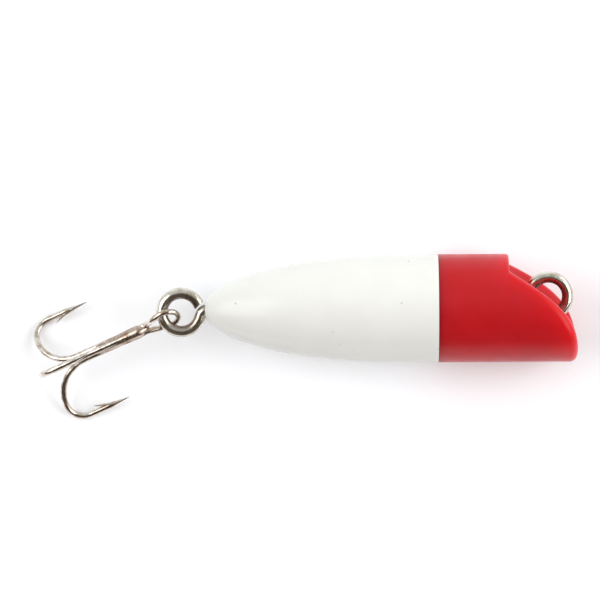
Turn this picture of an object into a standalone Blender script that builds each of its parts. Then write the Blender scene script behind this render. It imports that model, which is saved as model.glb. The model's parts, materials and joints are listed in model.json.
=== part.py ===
"""Topwater popper lying on its side, as it rests on a table.

Metres, +Z up. The origin is on the table, under the body's axis, where the mount side_rest is.
+X runs along the body to the nose and +Y to the side that the scooped face opens on.

The body is two mouldings, a hollow white tail and a red head that plugs into it, with a ballast slug
in the tail. A screw eye stands in the tail and another in the scooped face. The treble hook, two wires
brazed along their shanks, hangs in the tail eye and slides round it.
"""
import math

import bmesh
import bpy
from mathutils import Matrix, Vector

# Body, lengths along its axis from the tail's tip
BODY_RADIUS = 0.0072
TAPER_LENGTH = 0.0262       # the tail's outline is an ellipse of this length, then a cylinder
COLOUR_LINE = 0.03125       # where the tail and the head meet
STEP_AT = 0.0406            # the flat wall at the top of the scooped face
BODY_LENGTH = 0.0500
SIDES = 48                  # facets round the body
WALL = 0.0013
GAP = 0.0003                # between the tail's front edge and the head's shoulder
FIT = 0.0001                # radial clearance of a spigot, a slug or a shank in its hole

# How it lies on the table
REST_FROM_TIP = 0.0287      # the origin, in the middle of the tail's parallel part
ROLL = math.radians(7.5)    # the treble props the body at this roll, face towards +Z
AXIS_HEIGHT = BODY_RADIUS * math.cos(math.pi / SIDES)

# Tail shell's inside
TIP_HOLE_RADIUS = 0.00135
POCKET_FROM, POCKET_TO = 0.0095, 0.0127
POCKET_RADIUS = 0.0033
SOCKET_RADIUS = 0.0062
SOCKET_DEPTH = 0.0042
SOCKET_STOP = 0.0004        # the shoulder that the head's spigot runs up to

# Head
HEAD_CORE_RADIUS = 0.0050
HEAD_CORE_TO = 0.0375
NOSE_ROUNDING = 0.00135
FACE_SLOPE = math.radians(49.9)
FACE_DROP = 0.0037          # the face's floor above the body's axis at the step
TROUGH_RADIUS = 0.0091      # the face is a round groove along its slope
CUTTER_REACH = 0.030

# Screw eyes, which are the same part twice
EYE_WIRE_RADIUS = 0.000725
EYE_RADIUS = 0.00256        # to the middle of the wire
EYE_NECK_RADIUS = 0.00109
EYE_NECK_STRAIGHT = 0.00055
EYE_CUT_ANGLE = math.radians(22)      # where the open ring's cut end stands
EYE_LEAVE_ANGLE = math.radians(-20)   # where the wire leaves the ring for its neck
EYE_STAND_OFF = 0.0029      # the ring's centre to the surface that the shank enters
EYE_SHANK_LENGTH = 0.0066   # under that surface
EYE_POINT_LENGTH = 0.0016
LINE_TIE_FROM_STEP = 0.0053
LINE_TIE_HEIGHT = 0.00155
LINE_TIE_LEAN = math.radians(47.5)    # its shank from square to the body's axis, about square to the face

# Treble hook, lengths along its shank from the middle of its eye
HOOK_WIRE_RADIUS = 0.00037
HOOK_EYE_RADIUS = 0.00156   # to the middle of the wire
HOOK_EYE_TWIST = math.radians(54)     # the eye's plane against that of the two side hooks
SHANK_SPREAD = 0.00050      # each wire from the middle of the bundle
SHANK_FROM = 0.0035
BEND_TO = 0.0175            # the furthest the bends reach
TIGHT_BEND = 0.0023         # the bend on the spear's side; the wide one takes the rest of the reach
HOOK_POINT_AT = 0.0097
POINT_LENGTH = 0.0022
BARB_AT = 0.0134
BARB_LENGTH = 0.0013
SINGLE_FROM = 0.0041
BRAZE_FROM, BRAZE_TO = 0.0046, 0.0112
# Each hook's direction round the shank from straight up, and its reach from the shank
UPPER_HOOK = (math.radians(-121.5), 0.0072)
LOWER_HOOK = (math.radians(115.5), 0.0083)
TOP_HOOK = (math.radians(-1.5), 0.0075)
# The filler's arms, out through the grooves between the shanks
BRAZE_ROOT, BRAZE_THROAT, BRAZE_REACH = 0.00015, 0.00030, 0.00058
BRAZE_WAIST, BRAZE_FLARE = 0.00003, 0.00014
# How the treble lies: round the tail eye, tipped down to the table, and rolled on its shank
HOOK_SWING = math.radians(24.95)
HOOK_TIP_DOWN = math.radians(8.03)
HOOK_ROLL = math.radians(6.19)
HOOK_SLACK = 0.00040        # how far the hook's eye has slid inwards past the ring's wire


def clear_scene():
    for old in list(bpy.data.objects):
        bpy.data.objects.remove(old, do_unlink=True)


def new_collection(name):
    made = bpy.data.collections.new(name)
    bpy.context.scene.collection.children.link(made)
    return made


def material(name, colour, roughness, metallic=0.0):
    made = bpy.data.materials.new(name)
    made.use_nodes = True
    shader = made.node_tree.nodes["Principled BSDF"]
    shader.inputs["Base Color"].default_value = (*colour, 1.0)
    shader.inputs["Roughness"].default_value = roughness
    shader.inputs["Metallic"].default_value = metallic
    return made


def add(name, data, collection, parent=None, finish=None):
    made = bpy.data.objects.new(name, data)
    collection.objects.link(made)
    made.parent = parent
    if finish:
        data.materials.append(finish)
    return made


def cutter(name, data, parent, place=None):
    """An object that only cuts or joins, in its parent's frame."""
    made = add(name, data, CUTTERS, parent)
    if place:
        made.matrix_local = place
    made.hide_render = True
    made.display_type = "WIRE"
    return made


def boolean(target, tool, operation="DIFFERENCE"):
    step = target.modifiers.new(tool.name, "BOOLEAN")
    step.object = tool
    step.operation = operation
    step.solver = "EXACT"


def turned(name, profile, collection, parent, finish, closed=True):
    """A piece of revolution about the body's axis, from (radius, distance from the tail's tip) points."""
    half_facet = math.pi / SIDES
    mesh = bpy.data.meshes.new(name)
    points = [(r * math.cos(half_facet), r * math.sin(half_facet), along) for r, along in profile]
    edges = [(i, i + 1) for i in range(len(points) - 1)]
    if closed:
        edges.append((len(points) - 1, 0))
    mesh.from_pydata(points, edges, [])
    made = add(name, mesh, collection, parent, finish)
    made.rotation_euler = (0.0, math.pi / 2, 0.0)
    screw = made.modifiers.new("turn", "SCREW")
    screw.axis = "Z"
    screw.steps = SIDES
    screw.render_steps = SIDES
    screw.use_merge_vertices = True
    screw.merge_threshold = 1e-6
    screw.use_smooth_shade = True
    return made


def body_radius_at(along):
    """The outside of the body, an ellipse that runs into a cylinder."""
    if along >= TAPER_LENGTH:
        return BODY_RADIUS
    return BODY_RADIUS * math.sqrt(1.0 - (1.0 - along / TAPER_LENGTH) ** 2)


def tip_start():
    """Where the taper is as wide as the hole in the tail's tip, plus a thin edge."""
    edge = (TIP_HOLE_RADIUS + 0.00005) / BODY_RADIUS
    return TAPER_LENGTH * (1.0 - math.sqrt(1.0 - edge * edge))


def tail_profile():
    """The tail's wall, from the tip along the outside to its front edge, and back along the inside."""
    start = tip_start()
    shank_hole = EYE_WIRE_RADIUS + FIT
    steps = 15
    outside = []
    for i in range(steps + 1):
        turn = math.acos(1.0 - start / TAPER_LENGTH) * (1 - i / steps) + math.pi / 2 * i / steps
        along = TAPER_LENGTH * (1.0 - math.cos(turn))
        outside.append((body_radius_at(along), along))
    front = COLOUR_LINE - GAP / 2
    inside = [(SOCKET_RADIUS, front), (SOCKET_RADIUS, front - SOCKET_DEPTH)]
    chamber_to = front - SOCKET_DEPTH - 0.0006
    for i in range(7):
        along = chamber_to + (POCKET_TO - chamber_to) * i / 6
        inside.append((min(body_radius_at(along) - WALL, SOCKET_RADIUS - SOCKET_STOP), along))
    pocket = [(POCKET_RADIUS, POCKET_TO), (POCKET_RADIUS, POCKET_FROM)]
    shank = [(shank_hole, POCKET_FROM), (shank_hole, 0.0016), (TIP_HOLE_RADIUS, start)]
    return outside + [(BODY_RADIUS, front)] + inside + pocket + shank


def make_tail():
    tail = turned("tail_shell", list(reversed(tail_profile())), LURE, BODY_AXIS, WHITE)
    boolean(tail, make_eye_bed("tail_eye_bed", tail_eye_place()))


def make_ballast():
    radius = POCKET_RADIUS - FIT
    ends = (POCKET_FROM + GAP, POCKET_TO - GAP)
    profile = [(0.0, ends[1]), (radius, ends[1]), (radius, ends[0]), (0.0, ends[0])]
    turned("tail_ballast", profile, LURE, BODY_AXIS, BALLAST_STEEL, closed=False)


def slope_frame():
    """Unit vectors down the scooped face and out of it, in the body's own frame."""
    down = Vector((math.cos(FACE_SLOPE), -math.sin(FACE_SLOPE), 0.0))
    out = Vector((math.sin(FACE_SLOPE), math.cos(FACE_SLOPE), 0.0))
    return down, out


def make_face_cutter():
    """The space of the scooped face: a round-bottomed groove down the slope, stopped at the step's wall."""
    down, out = slope_frame()
    outline = [(TROUGH_RADIUS * 1.02, CUTTER_REACH), (-TROUGH_RADIUS * 1.02, CUTTER_REACH)]
    arcs = 40
    for i in range(arcs + 1):
        turn = math.pi + math.pi * i / arcs
        outline.append((TROUGH_RADIUS * math.cos(turn), TROUGH_RADIUS * (1.0 + math.sin(turn))))
    mesh = bpy.data.meshes.new("face_cutter")
    form = bmesh.new()
    ring = [form.verts.new((across, up, -CUTTER_REACH)) for across, up in outline]
    base = form.faces.new(ring)
    grown = bmesh.ops.extrude_face_region(form, geom=[base])
    moved = [item for item in grown["geom"] if isinstance(item, bmesh.types.BMVert)]
    bmesh.ops.translate(form, verts=moved, vec=(0.0, 0.0, 2 * CUTTER_REACH))
    bmesh.ops.recalc_face_normals(form, faces=form.faces)
    form.to_mesh(mesh)
    form.free()
    across = Vector((0.0, 0.0, 1.0))
    turn = Matrix((across, out, down)).transposed().to_4x4()
    groove = cutter("face_cutter", mesh, BODY_AXIS, Matrix.Translation((STEP_AT, FACE_DROP, 0.0)) @ turn)

    block = bpy.data.meshes.new("front_of_step")
    form = bmesh.new()
    bmesh.ops.create_cube(form, size=2 * CUTTER_REACH)
    form.to_mesh(block)
    form.free()
    in_front = Matrix.Translation((STEP_AT + CUTTER_REACH, 0.0, 0.0))
    boolean(groove, cutter("front_of_step", block, BODY_AXIS, in_front), "INTERSECT")
    return groove


def line_tie_place():
    """The line-tie eye's frame: its ring stands in the body's plane of symmetry, square to the face."""
    inwards = Vector((-math.sin(LINE_TIE_LEAN), -math.cos(LINE_TIE_LEAN), 0.0))
    across = Vector((0.0, 0.0, 1.0))
    side = across.cross(inwards)
    turn = Matrix((inwards, side, across)).transposed().to_4x4()
    return Matrix.Translation((STEP_AT + LINE_TIE_FROM_STEP, LINE_TIE_HEIGHT, 0.0)) @ turn


def tail_eye_place():
    """The tail eye's frame: its ring stands in the body's plane of symmetry, its shank on the body's axis."""
    return Matrix.Translation((-EYE_STAND_OFF, -eye_path()[-1].y, 0.0))


def make_head():
    shoulder = COLOUR_LINE + GAP / 2
    spigot = SOCKET_RADIUS - FIT
    spigot_from = COLOUR_LINE - GAP / 2 - SOCKET_DEPTH + GAP
    profile = [(HEAD_CORE_RADIUS, spigot_from), (spigot, spigot_from), (spigot, shoulder)]
    profile.append((BODY_RADIUS, shoulder))
    for i in range(7):
        turn = math.pi / 2 * i / 6
        along = BODY_LENGTH - NOSE_ROUNDING * (1.0 - math.sin(turn))
        profile.append((BODY_RADIUS - NOSE_ROUNDING * (1.0 - math.cos(turn)), along))
    profile += [(0.0, BODY_LENGTH), (0.0, HEAD_CORE_TO), (HEAD_CORE_RADIUS, HEAD_CORE_TO)]
    # both ends of the outline are on the axis, from the nose round the outside to the core's end
    outline = [profile[-3]] + profile[-4::-1] + [profile[-1], profile[-2]]
    head = turned("head", outline, LURE, BODY_AXIS, RED, closed=False)
    boolean(head, make_face_cutter())
    boolean(head, make_eye_bed("line_tie_bed", line_tie_place()))


def eye_path():
    """The screw eye's wire in its own frame: the open ring round the origin, then its neck and shank."""
    path = []
    turns = 34
    end = 2 * math.pi + EYE_LEAVE_ANGLE
    for i in range(turns + 1):
        turn = EYE_CUT_ANGLE + (end - EYE_CUT_ANGLE) * i / turns
        path.append((EYE_RADIUS * math.cos(turn), EYE_RADIUS * math.sin(turn)))
    heading = EYE_LEAVE_ANGLE + math.pi / 2
    x = path[-1][0] + EYE_NECK_STRAIGHT * math.cos(heading)
    y = path[-1][1] + EYE_NECK_STRAIGHT * math.sin(heading)
    centre = (x + EYE_NECK_RADIUS * math.sin(heading), y - EYE_NECK_RADIUS * math.cos(heading))
    bends = 6
    for i in range(bends + 1):
        turn = heading * (1 - i / bends)
        path.append(
            (centre[0] - EYE_NECK_RADIUS * math.sin(turn), centre[1] + EYE_NECK_RADIUS * math.cos(turn))
        )
    tip = EYE_STAND_OFF + EYE_SHANK_LENGTH
    line = path[-1][1]
    path.append((tip - EYE_POINT_LENGTH, line))
    path.append((tip, line))
    return [Vector((x, y, 0.0)) for x, y in path]


def wire_object(name, points, radius, shares=None, sides=3):
    """A wire of one round section, or at each point the given share of it."""
    curve = bpy.data.curves.new(name, "CURVE")
    curve.dimensions = "3D"
    curve.bevel_depth = radius
    curve.bevel_resolution = sides
    curve.use_fill_caps = True
    spline = curve.splines.new("POLY")
    spline.points.add(len(points) - 1)
    for knot, place, share in zip(spline.points, points, shares or [1.0] * len(points)):
        knot.co = (*place, 1.0)
        knot.radius = share
    return curve


def make_eye_bed(name, place):
    """The space that a screw eye takes up, with clearance: its shank's hole, and its ring's print."""
    path = eye_path()
    path[-1].x += GAP
    bed = as_mesh(add(name, wire_object(name, path, EYE_WIRE_RADIUS + FIT), CUTTERS, BODY_AXIS))
    bed.matrix_local = place
    bed.hide_render = True
    bed.display_type = "WIRE"
    return bed


def make_eye(name, place):
    path = eye_path()
    shares = [1.0] * (len(path) - 1) + [0.15]
    curve = wire_object(name, path, EYE_WIRE_RADIUS, shares)
    made = add(name, curve, LURE, BODY_AXIS, STEEL)
    made.matrix_local = place
    return made


def hook_direction(hook):
    return Vector((0.0, math.sin(hook[0]), math.cos(hook[0])))


def hook_path(hook):
    """One hook from its bend to its point: a wide bend off the shank, a tighter one, and the spear back."""
    away, reach = hook_direction(hook), hook[1]
    wide = reach - SHANK_SPREAD - TIGHT_BEND
    bends = 9
    path = []
    for i in range(bends):
        turn = math.pi / 2 * i / (bends - 1)
        along = BEND_TO - wide * (1 - math.sin(turn))
        path.append(Vector((along, 0, 0)) + away * (SHANK_SPREAD + wide * (1 - math.cos(turn))))
    for i in range(1, bends):
        turn = math.pi / 2 * i / (bends - 1)
        along = BEND_TO - TIGHT_BEND * (1 - math.cos(turn))
        path.append(Vector((along, 0, 0)) + away * (SHANK_SPREAD + wide + TIGHT_BEND * math.sin(turn)))
    top = path[-1] - Vector((path[-1].x, 0, 0))
    for along in (BARB_AT + BARB_LENGTH, BARB_AT, HOOK_POINT_AT + POINT_LENGTH, HOOK_POINT_AT):
        path.append(Vector((along, 0, 0)) + top)
    return path


def hook_thin(path, tips):
    """Full section along a wire, coming to a point at each tip."""
    shares = [1.0] * len(path)
    for tip in tips:
        shares[tip] = 0.08
    return shares


def eye_loop():
    """The double hook's eye, from one shank round to the other, in the hook's own frame."""
    across = Vector((0.0, -math.cos(HOOK_EYE_TWIST), math.sin(HOOK_EYE_TWIST)))
    path = []
    opens = math.radians(128)
    for i in range(25):
        turn = opens - 2 * opens * i / 24
        path.append(
            Vector((-HOOK_EYE_RADIUS * math.cos(turn), 0, 0)) + across * HOOK_EYE_RADIUS * math.sin(turn)
        )
    return path


def neck(start, end):
    """A smooth run from an end of the eye to the start of a shank."""
    path = []
    for i in range(1, 6):
        share = i / 6
        ease = share * share * (3 - 2 * share)
        point = start.lerp(end, ease)
        point.x = start.x + (end.x - start.x) * share
        path.append(point)
    return path


def as_mesh(source):
    """Turns a curve object into a mesh object of the same name, with its caps welded on."""
    graph = bpy.context.evaluated_depsgraph_get()
    mesh = bpy.data.meshes.new_from_object(source.evaluated_get(graph))
    form = bmesh.new()
    form.from_mesh(mesh)
    bmesh.ops.remove_doubles(form, verts=form.verts, dist=1e-7)
    form.to_mesh(mesh)
    form.free()
    name, parent, local = source.name, source.parent, source.matrix_local.copy()
    owner = source.users_collection[0]
    bpy.data.objects.remove(source, do_unlink=True)
    made = bpy.data.objects.new(name, mesh)
    owner.objects.link(made)
    made.parent = parent
    made.matrix_local = local
    return made


def add_barb(target, hook):
    """A sliver standing off the inside of the spear, its tip towards the bend."""
    away, reach = hook_direction(hook), hook[1]
    across = Vector((1.0, 0.0, 0.0)).cross(away)
    spear = away * reach
    half = HOOK_WIRE_RADIUS * 0.45
    root, tip = BARB_AT - BARB_LENGTH * 0.6, BARB_AT + BARB_LENGTH
    inner = HOOK_WIRE_RADIUS * 0.2
    corners = [
        Vector((root, 0, 0)) + spear - away * inner + across * half,
        Vector((root, 0, 0)) + spear - away * inner - across * half,
        Vector((BARB_AT + BARB_LENGTH * 0.5, 0, 0)) + spear - away * inner + across * half,
        Vector((BARB_AT + BARB_LENGTH * 0.5, 0, 0)) + spear - away * inner - across * half,
        Vector((tip, 0, 0)) + spear - away * HOOK_WIRE_RADIUS * 2.3,
    ]
    form = bmesh.new()
    for corner in corners:
        form.verts.new(corner)
    bmesh.ops.convex_hull(form, input=form.verts)
    bmesh.ops.recalc_face_normals(form, faces=form.faces)
    mesh = bpy.data.meshes.new(target.name + "_barb")
    form.to_mesh(mesh)
    form.free()
    boolean(target, cutter(f"{target.name}_barb_{len(target.modifiers)}", mesh, target.parent), "UNION")


def make_double_hook():
    loop = eye_loop()
    starts = [Vector((SHANK_FROM, 0, 0)) + hook_direction(h) * SHANK_SPREAD for h in (UPPER_HOOK, LOWER_HOOK)]
    upper, lower = hook_path(UPPER_HOOK), hook_path(LOWER_HOOK)
    path = list(reversed(upper)) + [starts[0]] + list(reversed(neck(loop[0], starts[0])))
    path += loop + neck(loop[-1], starts[1]) + [starts[1]] + lower
    shares = hook_thin(path, (0, -1))
    curve = wire_object("treble_double_hook", path, HOOK_WIRE_RADIUS, shares, sides=2)
    made = as_mesh(add("treble_double_hook", curve, LURE, TREBLE_PIVOT))
    made.data.materials.append(HOOK_STEEL)
    add_barb(made, UPPER_HOOK)
    add_barb(made, LOWER_HOOK)


def make_single_hook():
    start = Vector((SINGLE_FROM, 0, 0)) + hook_direction(TOP_HOOK) * SHANK_SPREAD
    path = [start] + hook_path(TOP_HOOK)
    shares = hook_thin(path, (-1,))
    curve = wire_object("treble_single_hook", path, HOOK_WIRE_RADIUS, shares, sides=2)
    made = as_mesh(add("treble_single_hook", curve, LURE, TREBLE_PIVOT))
    made.data.materials.append(HOOK_STEEL)
    add_barb(made, TOP_HOOK)


def make_braze():
    """The filler between the three shanks: a three-armed bar with an arm out through each groove."""
    half = [(BRAZE_ROOT, BRAZE_WAIST), (BRAZE_THROAT, BRAZE_WAIST), (BRAZE_REACH, BRAZE_FLARE)]
    arm = [(reach, -width) for reach, width in half] + half[::-1]
    form = bmesh.new()
    ring = []
    for hook, other in ((TOP_HOOK, UPPER_HOOK), (UPPER_HOOK, LOWER_HOOK), (LOWER_HOOK, TOP_HOOK)):
        out = (hook_direction(hook) + hook_direction(other)).normalized()
        side = Vector((1.0, 0.0, 0.0)).cross(out)
        start = Vector((BRAZE_FROM, 0.0, 0.0))
        ring += [form.verts.new(start + out * reach + side * width) for reach, width in arm]
    base = form.faces.new(ring)
    grown = bmesh.ops.extrude_face_region(form, geom=[base])
    moved = [item for item in grown["geom"] if isinstance(item, bmesh.types.BMVert)]
    bmesh.ops.translate(form, verts=moved, vec=(BRAZE_TO - BRAZE_FROM, 0.0, 0.0))
    bmesh.ops.recalc_face_normals(form, faces=form.faces)
    mesh = bpy.data.meshes.new("treble_braze")
    form.to_mesh(mesh)
    form.free()
    add("treble_braze", mesh, LURE, TREBLE_PIVOT, BRASS)


def new_axis(name, parent=None, location=(0.0, 0.0, 0.0), turn=(0.0, 0.0, 0.0)):
    made = add(name, None, LURE, parent)
    made.location = location
    made.rotation_euler = turn
    made.empty_display_size = 0.005
    return made


def make_axes():
    """The body's axis, the tail eye's centre that the treble swings about, and the treble's own frame."""
    body = new_axis("body_axis", None, (-REST_FROM_TIP, 0.0, AXIS_HEIGHT), (ROLL, 0.0, 0.0))
    centre = tail_eye_place().translation
    pivot = new_axis("tail_eye_centre", body, centre, (0.0, 0.0, math.pi + HOOK_SWING))
    lean = (HOOK_ROLL, HOOK_TIP_DOWN, 0.0)
    hook = new_axis("treble_frame", pivot, (EYE_RADIUS - HOOK_SLACK, 0.0, 0.0), lean)
    return body, hook


clear_scene()
LURE = new_collection("topwater_popper")
CUTTERS = new_collection("cutters")
WHITE = material("white_plastic", (0.88, 0.89, 0.86), 0.22)
RED = material("red_plastic", (0.62, 0.03, 0.04), 0.20)
BALLAST_STEEL = material("ballast_steel", (0.35, 0.35, 0.37), 0.55, 1.0)
STEEL = material("eye_steel", (0.60, 0.57, 0.50), 0.28, 1.0)
HOOK_STEEL = material("hook_steel", (0.45, 0.41, 0.35), 0.30, 1.0)
BRASS = material("braze", (0.50, 0.44, 0.34), 0.40, 1.0)
BODY_AXIS, TREBLE_PIVOT = make_axes()
bpy.context.view_layer.update()
make_tail()
make_ballast()
make_head()
make_eye("tail_eye", tail_eye_place())
make_eye("line_tie_eye", line_tie_place())
make_double_hook()
make_single_hook()
make_braze()
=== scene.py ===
"""The looks of the topwater popper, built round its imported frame. Metres, in the frame's axes."""
import json
import math

import bpy
import numpy as np
from mathutils import Matrix, Vector


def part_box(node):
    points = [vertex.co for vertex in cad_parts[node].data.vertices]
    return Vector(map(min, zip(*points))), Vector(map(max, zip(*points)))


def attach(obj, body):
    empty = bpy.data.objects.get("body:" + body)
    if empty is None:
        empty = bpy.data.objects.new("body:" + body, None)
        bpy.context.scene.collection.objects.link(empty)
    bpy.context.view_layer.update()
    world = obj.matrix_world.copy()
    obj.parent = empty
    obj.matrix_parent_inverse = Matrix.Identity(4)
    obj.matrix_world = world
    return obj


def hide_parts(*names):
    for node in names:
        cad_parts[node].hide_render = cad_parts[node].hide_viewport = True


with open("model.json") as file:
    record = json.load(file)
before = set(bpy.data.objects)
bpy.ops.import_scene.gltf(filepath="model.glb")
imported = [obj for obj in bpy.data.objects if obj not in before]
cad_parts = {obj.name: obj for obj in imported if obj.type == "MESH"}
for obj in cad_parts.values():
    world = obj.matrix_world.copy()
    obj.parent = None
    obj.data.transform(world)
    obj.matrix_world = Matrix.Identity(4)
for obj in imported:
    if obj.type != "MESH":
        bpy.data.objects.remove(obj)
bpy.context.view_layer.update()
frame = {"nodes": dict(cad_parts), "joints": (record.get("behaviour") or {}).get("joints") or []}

MM = 0.001
UP = Vector((0.0, 0.0, 1.0))

# ---------------------------------------------------------------- sizes of the body
COLOUR_LINE = 31.25 * MM    # along the body's axis from the tail's tip, like the next two
TAPER_LENGTH = 26.2 * MM
STEP_AT = 40.6 * MM
SEAM = 0.01 * MM            # hair line between the two mouldings
SEAM_WALL = 0.6             # how far in the walls at the seam go, as a share of the body's radius
SEAM_EDGE = 0.02 * MM       # how far back the tail's edge at the seam starts to round
DIMPLE_CLEARANCE = 0.04 * MM   # between the tail eye's shank and the tail's mouth
DIMPLE_FLOOR = 0.95 * MM    # how deep the mouth is, where the shank hides it
TAPER_FROM = 0.34 * MM      # where the dimple's rim meets the taper
FACE_SLOPE = math.radians(46.6)
FACE_DROP = 3.77 * MM
TROUGH_RADIUS = 7.30 * MM
RIM_RADIUS = 1.0 * MM       # the scooped face's rim is rounded by a ball of this size
STEP_ROUNDING = 0.40 * MM
CREASE = 0.30 * MM          # where the step's wall meets the face
CREASE_SHARE = 0.75         # the farthest out that the grid's row for the crease goes, as a share of the rim

# ---------------------------------------------------------------- sizes of the screw eyes
EYE_WIRE = 0.76 * MM
EYE_RADIUS = 2.56 * MM
EYE_NECK_RADIUS = 1.09 * MM
EYE_NECK_STRAIGHT = 0.55 * MM
EYE_CUT_ANGLE = math.radians(23)
EYE_CUT_SKEW = 0.46         # the cut slants by this slope, longer on the ring's inside
EYE_LEAVE_ANGLE = math.radians(-20)
EYE_STAND_OFF = 2.9 * MM
EYE_SHANK_LENGTH = 6.6 * MM
EYE_POINT_FROM = (3.0 * MM, 1.6 * MM)   # back from the shank's tip: where it is still whole, where it narrows
# painted shade on each eye's ring: full this far inside the ring's radius, fading to none at the radius
EYE_PAINTED_SHADE_DEPTH = 0.60 * MM
LINE_TIE_FROM_STEP = 5.3 * MM
LINE_TIE_HEIGHT = 1.55 * MM
LINE_TIE_LEAN = math.radians(47.5)

# ---------------------------------------------------------------- sizes of the treble
HOOK_WIRE = 0.41 * MM
WIRE_SIDES = 24
EYE_WIRE_SHARE = 0.92       # the treble's eye is drawn a little thinner than its shanks
HOOK_EYE_RADIUS = 1.64 * MM
HOOK_EYE_TWIST = math.radians(54)
HOOK_EYE_OPENS = math.radians(110)   # from its outer end, where the eye turns into the shanks
NECK_HOLD = 1.5             # how strongly the necks keep the eye's direction, then the shanks'
NECK_RUN_IN = 0.8
SHANK_SPREAD = 0.47 * MM
SHANK_FROM = 3.5 * MM
TIGHT_BEND = 2.3 * MM
HOOK_POINT_AT = 9.65 * MM
POINT_FULL_AT = 12.9 * MM   # where the tapered point has the wire's full radius
POINT_RADIUS = 0.012 * MM
BARB_ROOT = 11.8 * MM
BARB_TIP = 14.7 * MM
BARB_EDGE = 0.015 * MM      # half the thickness of the barb's tip
SINGLE_FROM = 3.0 * MM
SINGLE_TAPER_STEP = 0.32 * MM
BRAZE_FROM = 2.6 * MM
BRAZE_TO = 12.6 * MM
# each hook's way round the shanks, its reach from their middle, and how far along them its bend goes
UPPER_HOOK = (math.radians(-121.5), 7.5 * MM, 17.8 * MM)
LOWER_HOOK = (math.radians(115.5), 8.3 * MM, 17.75 * MM)
TOP_HOOK = (math.radians(-1.5), 7.5 * MM, 17.3 * MM)
HOOK_SWING = math.radians(24.95)
HOOK_TIP_DOWN = math.radians(7.44)
HOOK_ROLL = math.radians(5.48)
HOOK_SLACK = 0.40 * MM

# ---------------------------------------------------------------- frames
swing = frame["joints"][0]
swing_centre = Vector(swing["pos_m"])
ROLL = math.atan2(-swing["axis"][1], swing["axis"][2])
shell_low, shell_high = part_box("tail_shell")
BODY_RADIUS = (shell_high.z - shell_low.z) / 2
AXIS_HEIGHT = (shell_high.z + shell_low.z) / 2
TIP = Vector((swing_centre.x + EYE_STAND_OFF, 0.0, AXIS_HEIGHT))
BODY = Matrix.Translation(TIP) @ Matrix.Rotation(ROLL, 4, "X")
SWING = BODY.to_3x3().to_4x4() @ Matrix.Rotation(math.pi + HOOK_SWING, 4, "Z")
TREBLE = (
    Matrix.Translation(swing_centre)
    @ SWING
    @ Matrix.Translation((EYE_RADIUS - HOOK_SLACK, 0.0, 0.0))
    @ Matrix.Rotation(HOOK_TIP_DOWN, 4, "Y")
    @ Matrix.Rotation(HOOK_ROLL, 4, "X")
)


# ---------------------------------------------------------------- mesh helpers
def mesh_object(name, points, faces, place, sharp=40):
    """An object from a point list and faces, placed and shaded smooth but for its sharp edges."""
    mesh = bpy.data.meshes.new(name)
    mesh.from_pydata([tuple(place @ Vector(p)) for p in points], [], faces)
    mesh.validate()
    mesh.shade_smooth()
    mesh.set_sharp_from_angle(angle=math.radians(sharp))
    made = bpy.data.objects.new(name, mesh)
    bpy.context.scene.collection.objects.link(made)
    return made


def loft(rings, close_end=True):
    """Points and faces of a skin over equal closed rings, its ends closed by a fan round their middles."""
    rings = [np.asarray(r, float) for r in rings]
    count = len(rings[0])
    points = [tuple(p) for ring in rings for p in ring]
    faces = []
    for i in range(len(rings) - 1):
        for j in range(count):
            k = (j + 1) % count
            a, b = i * count, (i + 1) * count
            faces.append((a + j, a + k, b + k, b + j))
    ends = [(rings[0], 0, True)]
    if close_end:
        ends.append((rings[-1], (len(rings) - 1) * count, False))
    for ring, base, flip in ends:
        points.append(tuple(ring.mean(axis=0)))
        hub = len(points) - 1
        for j in range(count):
            k = (j + 1) % count
            pair = (base + k, base + j) if flip else (base + j, base + k)
            faces.append((*pair, hub))
    return points, faces


def tube(path, radii, sides, skew=0.0):
    """Rings of a wire along a path. skew slants the first three rings."""
    path = [Vector(p) for p in path]
    rings = []
    normal = None
    for i, here in enumerate(path):
        before, after = path[max(i - 1, 0)], path[min(i + 1, len(path) - 1)]
        ahead = (after - before).normalized()
        if normal is None:
            normal = (UP - ahead * UP.dot(ahead)).normalized()
        else:
            normal = (normal - ahead * normal.dot(ahead)).normalized()
        other = ahead.cross(normal)
        ring = []
        for j in range(sides):
            turn = 2 * math.pi * j / sides
            across = math.cos(turn) * radii[i]
            along = math.sin(turn) * radii[i]
            slant = skew * along if i < 3 else 0.0
            ring.append(here + normal * across + other * along + ahead * slant)
        rings.append(ring)
    return rings


def arc(centre, first, second, radius, start, end, steps):
    """Points round a circle in the plane of two unit vectors, both ends included."""
    turns = [start + (end - start) * i / steps for i in range(steps + 1)]
    return [centre + first * (radius * math.cos(t)) + second * (radius * math.sin(t)) for t in turns]


def blunt(path, radii, radius):
    """Rounds the rim of a wire's cut end, at its start, with three short rings."""
    spots = ((0.0, 0.90), (0.04 * MM, 0.97), (0.10 * MM, 1.0))
    ahead = (path[1] - path[0]).normalized()
    path = [path[0] + ahead * back for back, _ in spots] + path[1:]
    radii = [radius * share for _, share in spots] + radii[1:]
    return path, radii


def circle(radius, along, sides):
    """A ring of points round the body's axis."""
    turns = [2 * math.pi * j / sides for j in range(sides)]
    return [(along, radius * math.cos(t), radius * math.sin(t)) for t in turns]


def smooth(share):
    """A share from 0 to 1 that starts and ends level."""
    return share * share * (3 - 2 * share)


# ---------------------------------------------------------------- tail
def tail_radius(along):
    if along >= TAPER_LENGTH:
        return BODY_RADIUS
    return BODY_RADIUS * math.sqrt(max(0.0, 1.0 - (1.0 - along / TAPER_LENGTH) ** 2))


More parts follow.
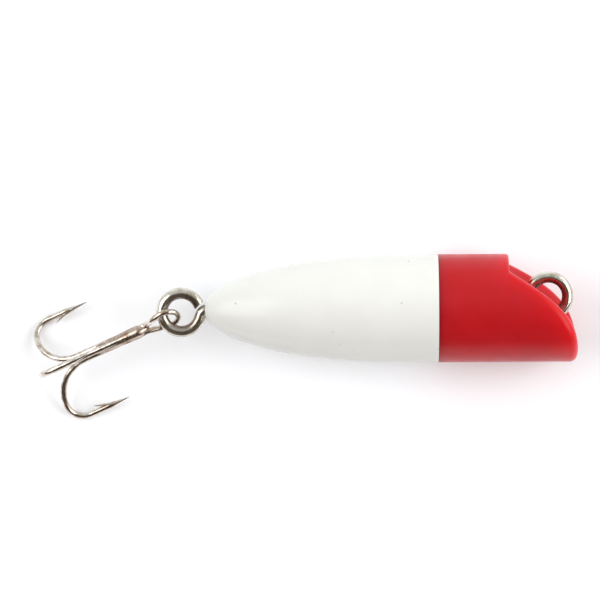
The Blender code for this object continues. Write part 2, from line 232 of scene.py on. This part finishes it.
def make_tail():
    """A solid of revolution: a dimple round the shank, the taper, the parallel part, the colour line."""
    mouth = EYE_WIRE + DIMPLE_CLEARANCE
    lip = ((0.0, 0.42 * MM), (0.04 * MM, 0.31 * MM), (0.12 * MM, 0.27 * MM))
    outline = [(mouth, DIMPLE_FLOOR)] + [(mouth + wider, along) for wider, along in lip]
    start = math.acos(1.0 - TAPER_FROM / TAPER_LENGTH)
    steps = 70
    for i in range(steps + 1):
        turn = start + (math.pi / 2 - start) * i / steps
        along = TAPER_LENGTH * (1.0 - math.cos(turn))
        outline.append((tail_radius(along), along))
    front = COLOUR_LINE - SEAM / 2
    rows = 8
    for i in range(1, rows):
        outline.append((BODY_RADIUS, TAPER_LENGTH + (front - TAPER_LENGTH) * i / rows))
    outline += [(BODY_RADIUS, front - SEAM_EDGE), (BODY_RADIUS - SEAM_EDGE / 2, front)]
    outline.append((BODY_RADIUS * SEAM_WALL, front))
    points, faces = loft([circle(radius, along, 160) for radius, along in outline])
    return mesh_object("tail_body", points, faces, BODY, sharp=50)


# ---------------------------------------------------------------- head
def smooth_max(a, b, width):
    blend = np.maximum(width - np.abs(a - b), 0.0) / width
    return np.maximum(a, b) + blend * blend * width / 4


def trough_frame(p):
    """Height over the trough's own axis, square to its slope, for points (along, high, across)."""
    sine, cosine = math.sin(FACE_SLOPE), math.cos(FACE_SLOPE)
    return (p[:, 0] - STEP_AT) * sine + (p[:, 1] - FACE_DROP) * cosine - TROUGH_RADIUS


def rim_centre(turn):
    """The middle of the ball that rounds the rim, rolled to an angle round the body."""
    high = (BODY_RADIUS - RIM_RADIUS) * np.cos(turn)
    across = (BODY_RADIUS - RIM_RADIUS) * np.sin(turn)
    sink = np.sqrt((TROUGH_RADIUS + RIM_RADIUS) ** 2 - across**2)
    rise = (TROUGH_RADIUS - sink - (high - FACE_DROP) * math.cos(FACE_SLOPE)) / math.sin(FACE_SLOPE)
    return np.stack([STEP_AT + rise, high, across], axis=1)


def scooped_field(p):
    """Signed distance to the body cut by the trough, its rim rounded by a rolling ball.

    The ball's middle keeps within a core, one ball's radius inside the cylinder and the trough's surface.
    """
    tiny = 0.01 * MM
    from_axis = np.hypot(p[:, 1], p[:, 2])
    out = np.minimum(trough_frame(p), -tiny)
    from_trough_axis = np.hypot(out, p[:, 2])
    past_body = from_axis - (BODY_RADIUS - RIM_RADIUS)
    past_trough = TROUGH_RADIUS + RIM_RADIUS - from_trough_axis

    share = (BODY_RADIUS - RIM_RADIUS) / np.maximum(from_axis, tiny)
    foot = p * np.stack([np.ones_like(share), share, share], axis=1)
    foot_out = np.minimum(trough_frame(foot), 0.0)
    foot_clear = np.hypot(foot_out, foot[:, 2]) >= TROUGH_RADIUS + RIM_RADIUS
    share = (TROUGH_RADIUS + RIM_RADIUS) / from_trough_axis
    high = p[:, 1] + out * (share - 1) * math.cos(FACE_SLOPE)
    other_clear = np.hypot(high, p[:, 2] * share) <= BODY_RADIUS - RIM_RADIUS

    turn = np.arctan2(p[:, 2], p[:, 1])
    nudge = 0.001
    for _ in range(5):
        here, ahead, behind = rim_centre(turn), rim_centre(turn + nudge), rim_centre(turn - nudge)
        speed = (ahead - behind) / (2 * nudge)
        bend = (ahead - 2 * here + behind) / nudge**2
        stiff = (speed**2).sum(axis=1)
        grip = np.maximum(stiff + ((here - p) * bend).sum(axis=1), 0.3 * stiff)
        turn = turn - np.clip(((here - p) * speed).sum(axis=1) / grip, -0.3, 0.3)
    to_centre = np.sqrt(((rim_centre(turn) - p) ** 2).sum(axis=1))

    cases = [
        (past_body <= 0) & (past_trough <= 0),
        (past_body > 0) & foot_clear,
        (past_trough > 0) & other_clear,
    ]
    distances = [np.maximum(past_body, past_trough), past_body, past_trough]
    return np.select(cases, distances, to_centre) - RIM_RADIUS


def head_field(p):
    """Signed distance, about, to the head's surface: negative inside. Columns are along, high, across."""
    cylinder = np.hypot(p[:, 1], p[:, 2]) - BODY_RADIUS
    behind_step = smooth_max(cylinder, p[:, 0] - STEP_AT, STEP_ROUNDING)
    depth = np.clip(-cylinder / (0.6 * MM), 0.02, 1.0)
    return -smooth_max(-scooped_field(p), -behind_step, CREASE * depth)


def face_at(high, across):
    """Where the trough's sharp surface stands, along the axis, before any rounding."""
    slope = math.tan(FACE_SLOPE)
    lift = math.sqrt(1.0 + slope * slope) * (TROUGH_RADIUS - np.sqrt(TROUGH_RADIUS**2 - across**2))
    return STEP_AT + np.maximum(0.0, (FACE_DROP - high + lift) / slope)


def crease_radius(turn):
    """The distance from the axis at which the step's wall meets the trough, on one ray."""
    low, top = 0.0, BODY_RADIUS
    for _ in range(40):
        middle = (low + top) / 2
        if face_at(middle * np.cos(turn), middle * np.sin(turn)) > STEP_AT:
            low = middle
        else:
            top = middle
    return top


def crowded(count):
    """Shares from 0 to 1, closer together towards both ends."""
    return (1 - np.cos(math.pi * np.arange(count + 1) / count)) / 2


def crowded_late(count):
    """Shares from 0 to 1, closer together towards 1."""
    return np.sin(math.pi / 2 * np.arange(count + 1) / count)


def head_column(turn, back):
    """One line over the head at an angle round it: along the cylinder, over the rim and in to the axis."""
    outward = np.array([0.0, math.cos(turn), math.sin(turn)])
    centre = rim_centre(np.array([turn]))[0]
    down = -float(trough_frame(centre[None, :])[0])
    inward = np.array([down * math.sin(FACE_SLOPE), down * math.cos(FACE_SLOPE), -centre[2]])
    inward /= TROUGH_RADIUS + RIM_RADIUS
    bend = math.acos(float(outward @ inward))
    start = max(centre[0], STEP_AT)
    high, across = outward[1:] * BODY_RADIUS
    column = [(back + (start - back) * share, high, across) for share in crowded_late(44)]
    rim_steps = 24
    for share in np.arange(1, rim_steps + 1) / rim_steps:
        way = outward * math.sin(bend * (1 - share)) + inward * math.sin(bend * share)
        along, high, across = centre + way / math.sin(bend) * RIM_RADIUS
        column.append((max(along, STEP_AT), high, across))
    crease = min(float(crease_radius(turn)) / float(np.hypot(high, across)), CREASE_SHARE)
    shares = [1 + (crease - 1) * share for share in crowded(16)[1:]]
    shares += [crease * (1 - share) for share in crowded(30)[1:-1]]
    column += [(float(face_at(high * k, across * k)), high * k, across * k) for k in shares]
    return column


def make_head():
    """A polar grid over the cylinder, the rim and the scooped face, drawn onto the rounded form."""
    sides = 288
    back = COLOUR_LINE + SEAM / 2
    grid = np.array([head_column(2 * math.pi * j / sides, back) for j in range(sides)])
    rows = grid.shape[1]
    flat = np.vstack([grid.reshape(-1, 3), [[float(face_at(0.0, 0.0)), 0.0, 0.0]]])
    step = 0.0001 * MM
    for _ in range(8):
        value = head_field(flat)
        rise = [head_field(flat + step * axis) - head_field(flat - step * axis) for axis in np.eye(3)]
        slope = np.stack(rise, axis=1) / (2 * step)
        size = np.maximum((slope**2).sum(axis=1), 0.04)
        flat = flat - (value / size)[:, None] * slope
    flat[:, 0] = np.maximum(flat[:, 0], back)
    surface = flat[:-1].reshape(sides, rows, 3).transpose(1, 0, 2)
    rings = [surface[0] * np.array([1.0, SEAM_WALL, SEAM_WALL]), *surface]
    points, faces = loft(rings, close_end=False)
    points.append(tuple(flat[-1]))
    last, tip = (len(rings) - 1) * sides, len(points) - 1
    faces += [(last + j, last + (j + 1) % sides, tip) for j in range(sides)]
    return mesh_object("head_body", points, faces, BODY, sharp=60)


# ---------------------------------------------------------------- screw eyes
def eye_path():
    """The open ring from its cut end, then the neck and the shank, in the eye's own frame."""
    first, second = Vector((1, 0, 0)), Vector((0, 1, 0))
    end = 2 * math.pi + EYE_LEAVE_ANGLE
    path = arc(Vector(), first, second, EYE_RADIUS, EYE_CUT_ANGLE, end, 90)
    heading = EYE_LEAVE_ANGLE + math.pi / 2
    run = path[-1] + Vector((math.cos(heading), math.sin(heading), 0)) * EYE_NECK_STRAIGHT
    path.append((path[-1] + run) / 2)
    centre = run + Vector((math.sin(heading), -math.cos(heading), 0)) * EYE_NECK_RADIUS
    for i in range(15):
        turn = heading * (1 - i / 14)
        path.append(centre + Vector((-math.sin(turn), math.cos(turn), 0)) * EYE_NECK_RADIUS)
    line = path[-1].y
    tip = EYE_STAND_OFF + EYE_SHANK_LENGTH
    path += [Vector((tip - back, line, 0)) for back in (*EYE_POINT_FROM, 0.0)]
    return path


def add_painted_inner_shade(made, points, dark_within, clean_past):
    """Stores painted shade for each point, standing in for the dark reflections on the ring's inside: 1
    within a distance of the ring's centre, fading to 0.
    """
    painted_inner_shade = made.data.attributes.new("painted_inner_shade", "FLOAT", "POINT")
    for item, point in zip(painted_inner_shade.data, points):
        far = math.hypot(point[0], point[1])
        item.value = smooth(min(1.0, max(0.0, (clean_past - far) / (clean_past - dark_within))))


def make_eye(name, place):
    path = eye_path()
    radii = [EYE_WIRE] * (len(path) - 1) + [EYE_WIRE * 0.15]
    path, radii = blunt(path, radii, EYE_WIRE)
    points, faces = loft(tube(path, radii, sides=32, skew=EYE_CUT_SKEW))
    made = mesh_object(name, points, faces, BODY @ place, sharp=55)
    # paints shade on the ring's inner side, standing in for its dark reflections
    add_painted_inner_shade(made, points, EYE_RADIUS - EYE_PAINTED_SHADE_DEPTH, EYE_RADIUS)
    return made


def tail_eye_place():
    return Matrix.Translation((-EYE_STAND_OFF, -eye_path()[-1].y, 0.0))


def line_tie_place():
    inwards = Vector((-math.sin(LINE_TIE_LEAN), -math.cos(LINE_TIE_LEAN), 0.0))
    turn = Matrix((inwards, UP.cross(inwards), UP)).transposed().to_4x4()
    return Matrix.Translation((STEP_AT + LINE_TIE_FROM_STEP, LINE_TIE_HEIGHT, 0.0)) @ turn


# ---------------------------------------------------------------- treble
def hook_direction(hook):
    return Vector((0.0, math.sin(hook[0]), math.cos(hook[0])))


def hook_path(hook):
    """A hook's wire from the start of its wide bend to its point, and the radius at each place."""
    away = hook_direction(hook)
    _, reach, bend_to = hook
    ahead = Vector((1.0, 0.0, 0.0))
    wide = reach - SHANK_SPREAD - TIGHT_BEND
    start = bend_to - wide
    middle = away * (SHANK_SPREAD + wide)
    path = arc(ahead * start + middle, -away, ahead, wide, 0.0, math.pi / 2, 26)
    spear_from = bend_to - TIGHT_BEND
    path += arc(ahead * spear_from + middle, ahead, away, TIGHT_BEND, 0.0, math.pi / 2, 20)[1:]
    radii = [HOOK_WIRE] * len(path)
    top = away * reach
    steps = 26
    for i in range(1, steps + 1):
        along = spear_from + (HOOK_POINT_AT - spear_from) * i / steps
        path.append(ahead * along + top)
        share = min(1.0, (along - HOOK_POINT_AT) / (POINT_FULL_AT - HOOK_POINT_AT))
        radii.append(max(POINT_RADIUS, HOOK_WIRE * share**0.80))
    return path, radii


def barb_rings(hook):
    """A sliver lifted off the spear's inside, pointed towards the bend."""
    away, reach = hook_direction(hook), hook[1]
    across = Vector((1.0, 0.0, 0.0)).cross(away)
    rings = []
    steps = 14
    sides = 14
    for i in range(steps + 1):
        share = i / steps
        along = BARB_ROOT + (BARB_TIP - BARB_ROOT) * share
        lift = HOOK_WIRE * (0.35 + 2.10 * share**1.4)
        wide = across * (HOOK_WIRE * 0.75 * (1 - share) ** 0.5 + BARB_EDGE)
        thick = away * (HOOK_WIRE * 0.40 * (1 - share) ** 0.5 + BARB_EDGE)
        middle = Vector((along, 0, 0)) + away * (reach - lift)
        turns = [2 * math.pi * j / sides for j in range(sides)]
        rings.append([middle + wide * math.cos(t) - thick * math.sin(t) for t in turns])
    return rings


def eye_loop():
    """The double hook's eye, from the upper shank's side round to the lower's."""
    ahead = Vector((-1.0, 0.0, 0.0))
    across = Vector((0.0, -math.cos(HOOK_EYE_TWIST), math.sin(HOOK_EYE_TWIST)))
    return arc(Vector(), ahead, across, HOOK_EYE_RADIUS, HOOK_EYE_OPENS, -HOOK_EYE_OPENS, 60)


def neck(start, start_way, end, steps=12):
    """A smooth run from one end of the eye onto a shank, leaving along start_way and arriving along +X."""
    length = (end - start).length
    leave = start_way * length * NECK_HOLD
    arrive = Vector((1.0, 0.0, 0.0)) * length * NECK_RUN_IN
    path = []
    for i in range(1, steps + 1):
        t = i / steps
        path.append(
            start * (2 * t**3 - 3 * t**2 + 1)
            + leave * (t**3 - 2 * t**2 + t)
            + end * (3 * t**2 - 2 * t**3)
            + arrive * (t**3 - t**2)
        )
    return path


def union(name, parts, place):
    """One closed mesh from overlapping closed ones."""
    made = [mesh_object(f"{name}_{i}", *loft(rings), place, sharp=45) for i, rings in enumerate(parts)]
    base = made[0]
    for tool in made[1:]:
        step = base.modifiers.new(tool.name, "BOOLEAN")
        step.object = tool
        step.operation = "UNION"
        step.solver = "EXACT"
    graph = bpy.context.evaluated_depsgraph_get()
    mesh = bpy.data.meshes.new_from_object(base.evaluated_get(graph))
    for old in made:
        bpy.data.objects.remove(old, do_unlink=True)
    mesh.name = name
    mesh.shade_smooth()
    mesh.set_sharp_from_angle(angle=math.radians(45))
    whole = bpy.data.objects.new(name, mesh)
    bpy.context.scene.collection.objects.link(whole)
    return whole


def make_double_hook():
    """One wire: the upper hook from its point, its neck, the eye, and the lower hook's neck to its point."""
    loop = eye_loop()
    paths, sizes = zip(*(hook_path(hook) for hook in (UPPER_HOOK, LOWER_HOOK)))
    reach = Vector((SHANK_FROM, 0, 0))
    starts = [hook_direction(hook) * SHANK_SPREAD + reach for hook in (UPPER_HOOK, LOWER_HOOK)]
    to_upper = neck(loop[0], (loop[0] - loop[1]).normalized(), starts[0])
    to_lower = neck(loop[-1], (loop[-1] - loop[-2]).normalized(), starts[1])
    path = [*reversed(paths[0]), *reversed(to_upper), *loop, *to_lower, *paths[1]]
    middle = [HOOK_WIRE] * len(to_upper)
    middle += [HOOK_WIRE * EYE_WIRE_SHARE] * len(loop)
    middle += [HOOK_WIRE] * len(to_lower)
    radii = [*reversed(sizes[0]), *middle, *sizes[1]]
    parts = [tube(path, radii, WIRE_SIDES), barb_rings(UPPER_HOOK), barb_rings(LOWER_HOOK)]
    return union("treble_pair", parts, TREBLE)


def make_single_hook():
    """The third wire: its shank starts as a taper that rises out of the filler."""
    path, radii = hook_path(TOP_HOOK)
    away = hook_direction(TOP_HOOK)
    shares = [0.08 + 0.92 * share for share in crowded_late(9)]
    taper = []
    for i, share in enumerate(shares):
        out = SHANK_SPREAD - HOOK_WIRE * 1.3 * (1 - share)
        taper.append(Vector((SINGLE_FROM + i * SINGLE_TAPER_STEP, 0, 0)) + away * out)
    radii = [HOOK_WIRE * share for share in shares] + radii
    return union("treble_third", [tube(taper + path, radii, WIRE_SIDES), barb_rings(TOP_HOOK)], TREBLE)


def make_braze():
    """The filler that has run into the grooves between the shanks, full near the eye and thinning out."""
    rings = []
    steps = 60
    sides = 60
    ways = [hook[0] for hook in (TOP_HOOK, UPPER_HOOK, LOWER_HOOK)]
    for i in range(steps + 1):
        share = i / steps
        along = BRAZE_FROM + (BRAZE_TO - BRAZE_FROM) * share
        swell = smooth(min(1.0, share / 0.16, (1 - share) / 0.35))
        fill = 0.12 * MM + (0.82 - 0.22 * share) * MM * swell * (1 + 0.02 * math.sin(9 * share))
        ring = []
        for j in range(sides):
            turn = 2 * math.pi * j / sides
            near = max(math.cos(turn - way) for way in ways)
            groove = (1 - near) / 0.5
            radius = fill * (1 - 0.12 * groove)
            ring.append(Vector((along, radius * math.sin(turn), radius * math.cos(turn))))
        rings.append(ring)
    points, faces = loft(rings)
    return mesh_object("treble_filler", points, faces, TREBLE, sharp=60)


# ---------------------------------------------------------------- materials
FLOW_SCALE = 300            # texture scales are in features per metre
SPECK_SCALE = 620
SPECK_PATCH_SCALE = 500
WEAR_SCALE = 650
GRAIN_SCALE = 3800
GRAIN_HEIGHT = 0.0035 * MM
GLOW_REACH = 7.0 * MM
PIT_SHADE = 0.35            # a pit's colour, as a share of the tarnish's
# painted shade on the inside of the eyes' rings: its strongest share, and its dark brown colour
PAINTED_INNER_SHADE_SHARE = 0.75
PAINTED_INNER_SHADE_COLOUR = (0.12, 0.065, 0.05)
RUB_HEIGHT = 0.02 * MM
DRAWN_HEIGHT = 0.006 * MM


def new_material(name, colour, roughness, metallic=0.0):
    made = bpy.data.materials.new(name)
    made.use_nodes = True
    tree = made.node_tree
    shader = tree.nodes["Principled BSDF"]
    shader.inputs["Base Color"].default_value = (*colour, 1.0)
    shader.inputs["Roughness"].default_value = roughness
    shader.inputs["Metallic"].default_value = metallic
    return made, tree, shader


def texture(tree, kind, scale, detail):
    """A noise or Voronoi texture in object space, its scale in features per metre."""
    place = tree.nodes.new("ShaderNodeTexCoord")
    made = tree.nodes.new(kind)
    tree.links.new(place.outputs["Object"], made.inputs["Vector"])
    made.inputs["Scale"].default_value = scale
    made.inputs["Detail"].default_value = detail
    return made


def noise(tree, scale, detail):
    return texture(tree, "ShaderNodeTexNoise", scale, detail).outputs["Fac"]


def dots(tree, scale):
    """The distance to the nearest of scattered points."""
    return texture(tree, "ShaderNodeTexVoronoi", scale, 0.0).outputs["Distance"]


def ramp(tree, source, stops):
    """A colour ramp over a value: stops are (place, colour or grey)."""
    made = tree.nodes.new("ShaderNodeValToRGB")
    tree.links.new(source, made.inputs["Fac"])
    band = made.color_ramp
    while len(band.elements) < len(stops):
        band.elements.new(0.5)
    for element, (place, value) in zip(band.elements, stops):
        element.position = place
        colour = (value, value, value) if isinstance(value, float) else value
        element.color = (*colour, 1.0)
    return made.outputs["Color"]


def mix(tree, share, first, second, mode="MIX"):
    """Mixes two colours by a socket or a number."""
    made = tree.nodes.new("ShaderNodeMix")
    made.data_type = "RGBA"
    made.blend_type = mode
    sockets = (made.inputs[0], made.inputs[6], made.inputs[7])
    for socket, value in zip(sockets, (share, first, second)):
        if isinstance(value, bpy.types.NodeSocket):
            tree.links.new(value, socket)
        elif isinstance(value, tuple):
            socket.default_value = (*value, 1.0)
        else:
            socket.default_value = value
    return made.outputs[2]


def bump(tree, shader, height, distance):
    """Adds a height to the shader's normal, on top of any bump that is there."""
    made = tree.nodes.new("ShaderNodeBump")
    made.inputs["Distance"].default_value = distance
    made.inputs["Strength"].default_value = 1.0
    tree.links.new(height, made.inputs["Height"])
    if shader.inputs["Normal"].is_linked:
        tree.links.new(shader.inputs["Normal"].links[0].from_socket, made.inputs["Normal"])
    tree.links.new(made.outputs["Normal"], shader.inputs["Normal"])


def plastic(name, colour, deep, speck, roughness, sheen, glow):
    """Glossy moulded plastic: faint flow in the colour, fine dark specks, rubbed gloss and a fine grain.

    sheen is the specular level, and glow is how much light travels inside, redder the farther it goes.
    """
    made, tree, shader = new_material(name, colour, roughness)
    shade = ramp(tree, noise(tree, FLOW_SCALE, 3.0), [(0.30, deep), (0.70, colour)])
    spots = ramp(tree, dots(tree, SPECK_SCALE), [(0.06, 1.0), (0.12, 0.0)])
    chosen = ramp(tree, noise(tree, SPECK_PATCH_SCALE, 1.0), [(0.54, 0.0), (0.62, 0.7)])
    where = mix(tree, 1.0, spots, chosen, "MULTIPLY")
    tree.links.new(mix(tree, where, shade, speck), shader.inputs["Base Color"])
    wear = noise(tree, WEAR_SCALE, 4.0)
    gloss = ramp(tree, wear, [(0.35, roughness * 0.9), (0.75, roughness * 1.25)])
    tree.links.new(gloss, shader.inputs["Roughness"])
    bump(tree, shader, noise(tree, GRAIN_SCALE, 2.0), GRAIN_HEIGHT)
    shader.inputs["Subsurface Weight"].default_value = glow
    shader.inputs["Subsurface Radius"].default_value = (1.0, 0.10, 0.10)
    shader.inputs["Subsurface Scale"].default_value = GLOW_REACH
    shader.inputs["Specular IOR Level"].default_value = sheen
    return made


def plated_wire(name, bright, tarnish, roughness, grain):
    """Nickel-plated wire: tarnish in patches, pits, painted shade where a mesh stores it, and an uneven
    gloss.
    """
    made, tree, shader = new_material(name, bright, roughness, 1.0)
    colour = ramp(tree, noise(tree, grain, 5.0), [(0.36, bright), (0.66, tarnish)])
    pits = ramp(tree, dots(tree, grain * 5), [(0.10, 1.0), (0.20, 0.0)])
    colour = mix(tree, pits, colour, tuple(PIT_SHADE * part for part in tarnish))
    # painted shade: darkens the wire towards dark brown where the mesh stores it, on the inside of the eyes'
    # rings
    painted_inner_shade = tree.nodes.new("ShaderNodeAttribute")
    painted_inner_shade.attribute_name = "painted_inner_shade"
    shade = ramp(tree, painted_inner_shade.outputs["Fac"], [(0.0, 0.0), (1.0, PAINTED_INNER_SHADE_SHARE)])
    colour = mix(tree, shade, colour, PAINTED_INNER_SHADE_COLOUR)
    tree.links.new(colour, shader.inputs["Base Color"])
    rub = noise(tree, grain * 2.2, 4.0)
    gloss = ramp(tree, rub, [(0.30, roughness * 0.7), (0.75, roughness * 1.6)])
    tree.links.new(gloss, shader.inputs["Roughness"])
    bump(tree, shader, rub, RUB_HEIGHT)
    bump(tree, shader, noise(tree, grain * 9, 2.0), DRAWN_HEIGHT)
    return made


# ---------------------------------------------------------------- the pieces
WHITE = plastic(
    "white_plastic",
    colour=(0.80, 0.805, 0.77),
    deep=(0.78, 0.785, 0.75),
    speck=(0.45, 0.42, 0.38),
    roughness=0.22,
    sheen=0.4,
    glow=0.0,
)
RED = plastic(
    "red_plastic",
    colour=(0.50, 0.0100, 0.0160),
    deep=(0.47, 0.0080, 0.0135),
    speck=(0.16, 0.002, 0.003),
    roughness=0.32,
    sheen=0.25,
    glow=1.0,
)
EYE_STEEL = plated_wire("eye_steel", (0.80, 0.78, 0.70), (0.50, 0.44, 0.35), 0.17, 700)
HOOK_STEEL = plated_wire("hook_steel", (0.84, 0.80, 0.73), (0.46, 0.37, 0.29), 0.16, 900)
FILLER = plated_wire("braze", (0.60, 0.51, 0.43), (0.28, 0.19, 0.14), 0.26, 1100)
SLUG = plated_wire("ballast_steel", (0.36, 0.36, 0.38), (0.22, 0.21, 0.20), 0.50, 500)

pieces = [
    (make_tail(), "lure_body", "tail_shell", "white_plastic", WHITE),
    (make_head(), "lure_body", "head", "red_plastic", RED),
    (make_eye("tail_screw_eye", tail_eye_place()), "lure_body", "tail_eye", "eye_steel", EYE_STEEL),
    (make_eye("line_tie_screw_eye", line_tie_place()), "lure_body", "line_tie_eye", "eye_steel", EYE_STEEL),
    (make_double_hook(), "treble", "treble_double_hook", "hook_steel", HOOK_STEEL),
    (make_single_hook(), "treble", "treble_single_hook", "hook_steel", HOOK_STEEL),
    (make_braze(), "treble", "treble_braze", "braze", FILLER),
]
for piece, body, node, slot, finish in pieces:
    piece.data.materials.clear()
    piece.data.materials.append(finish)
    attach(piece, body)
    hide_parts(node)
ballast = frame["nodes"]["tail_ballast"]
ballast.data.materials.clear()
ballast.data.materials.append(SLUG)


# ---------------------------------------------------------------- stage, light and camera
FLOOR_REACH = 4.0
FLOOR_DROP = 0.02 * MM      # keeps the floor clear of the flat that rests on it
FLOOR_COLOUR = (0.905, 0.915, 0.950)
FLOOR_GLOW_FROM = (0.12, 0.100)   # distance from the middle, and the glow up to there
FLOOR_GLOW_TO = (0.9, 0.85)       # the far floor glows more, so that it meets the backdrop
# colours of the room over the direction's Y, from the -Y side at 0 to the +Y side at 1
ROOM = (
    (0.00, (0.23, 0.20, 0.18)),
    (0.33, (0.16, 0.13, 0.11)),
    (0.50, (0.48, 0.47, 0.46)),
    (0.66, (0.64, 0.65, 0.63)),
    (1.00, (0.80, 0.81, 0.80)),
)
MIRRORED = (
    (0.00, (0.16, 0.13, 0.11)),
    (0.20, (0.090, 0.065, 0.050)),
    (0.44, (0.100, 0.075, 0.060)),
    (0.54, (0.42, 0.41, 0.40)),
    (0.70, (0.58, 0.59, 0.58)),
    (1.00, (0.80, 0.81, 0.80)),
)


def make_floor():
    corners = [(-1, -1), (1, -1), (1, 1), (-1, 1)]
    points = [(x * FLOOR_REACH, y * FLOOR_REACH, -FLOOR_DROP) for x, y in corners]
    floor = mesh_object("floor", points, [(0, 1, 2, 3)], Matrix.Identity(4))
    made, tree, shader = new_material("floor", FLOOR_COLOUR, 0.9)
    shader.inputs["Emission Color"].default_value = (1.0, 1.0, 1.0, 1.0)
    place = tree.nodes.new("ShaderNodeTexCoord")
    away = tree.nodes.new("ShaderNodeVectorMath")
    away.operation = "LENGTH"
    tree.links.new(place.outputs["Object"], away.inputs[0])
    glow = tree.nodes.new("ShaderNodeMapRange")
    glow.interpolation_type = "SMOOTHSTEP"
    for end, (distance, strength) in (("Min", FLOOR_GLOW_FROM), ("Max", FLOOR_GLOW_TO)):
        glow.inputs[f"From {end}"].default_value = distance
        glow.inputs[f"To {end}"].default_value = strength
    tree.links.new(away.outputs["Value"], glow.inputs["Value"])
    tree.links.new(glow.outputs["Result"], shader.inputs["Emission Strength"])
    shader.inputs["Specular IOR Level"].default_value = 0.0
    floor.data.materials.append(made)


def make_light(name, place, aim, width, depth, power):
    data = bpy.data.lights.new(name, "AREA")
    data.shape = "RECTANGLE"
    data.size = width
    data.size_y = depth
    data.energy = power
    lamp = bpy.data.objects.new(name, data)
    lamp.location = place
    lamp.rotation_euler = (Vector(aim) - Vector(place)).to_track_quat("-Z", "Y").to_euler()
    bpy.context.scene.collection.objects.link(lamp)


def make_world():
    """A pale studio, with a darker, warm side towards -Y that the metal picks up."""
    world = bpy.data.worlds.new("studio")
    bpy.context.scene.world = world
    world.use_nodes = True
    tree = world.node_tree
    background = tree.nodes["Background"]
    place = tree.nodes.new("ShaderNodeTexCoord")
    parts = tree.nodes.new("ShaderNodeSeparateXYZ")
    tree.links.new(place.outputs["Generated"], parts.inputs["Vector"])
    side = tree.nodes.new("ShaderNodeMapRange")
    side.inputs["From Min"].default_value = -1.0
    tree.links.new(parts.outputs["Y"], side.inputs["Value"])
    room = ramp(tree, side.outputs["Result"], ROOM)
    mirrored = ramp(tree, side.outputs["Result"], MIRRORED)
    ray = tree.nodes.new("ShaderNodeLightPath")
    room = mix(tree, ray.outputs["Is Glossy Ray"], room, mirrored)
    seen = mix(tree, ray.outputs["Is Camera Ray"], room, (1.0, 1.0, 1.0))
    tree.links.new(seen, background.inputs["Color"])
    background.inputs["Strength"].default_value = 1.0


def make_camera():
    """Straight over the popper, a little off its middle and turned by a hair."""
    data = bpy.data.cameras.new("camera")
    data.lens = 429.0
    data.sensor_width = 36.0
    data.clip_end = 20.0
    camera = bpy.data.objects.new("camera", data)
    camera.location = (-15.8 * MM, 1.2 * MM, AXIS_HEIGHT + 0.95)
    camera.rotation_euler = (0.0, 0.0, math.radians(-0.32))
    bpy.context.scene.collection.objects.link(camera)
    bpy.context.scene.camera = camera


make_floor()
make_world()
make_light("left", place=(-0.90, 0.08, 0.80), aim=(0.0, 0.0, 0.0), width=1.05, depth=0.9, power=8.6)
make_light("right", place=(1.3, -0.09, 1.0), aim=(0.0, 0.0, 0.0), width=1.4, depth=1.2, power=19.0)
make_light("scoop", place=(0.21, 0.15, 0.10), aim=(0.02, 0.0, 0.007), width=0.14, depth=0.10, power=0.07)
make_camera()
bpy.context.scene.view_settings.view_transform = "Standard"

bpy.context.view_layer.update()
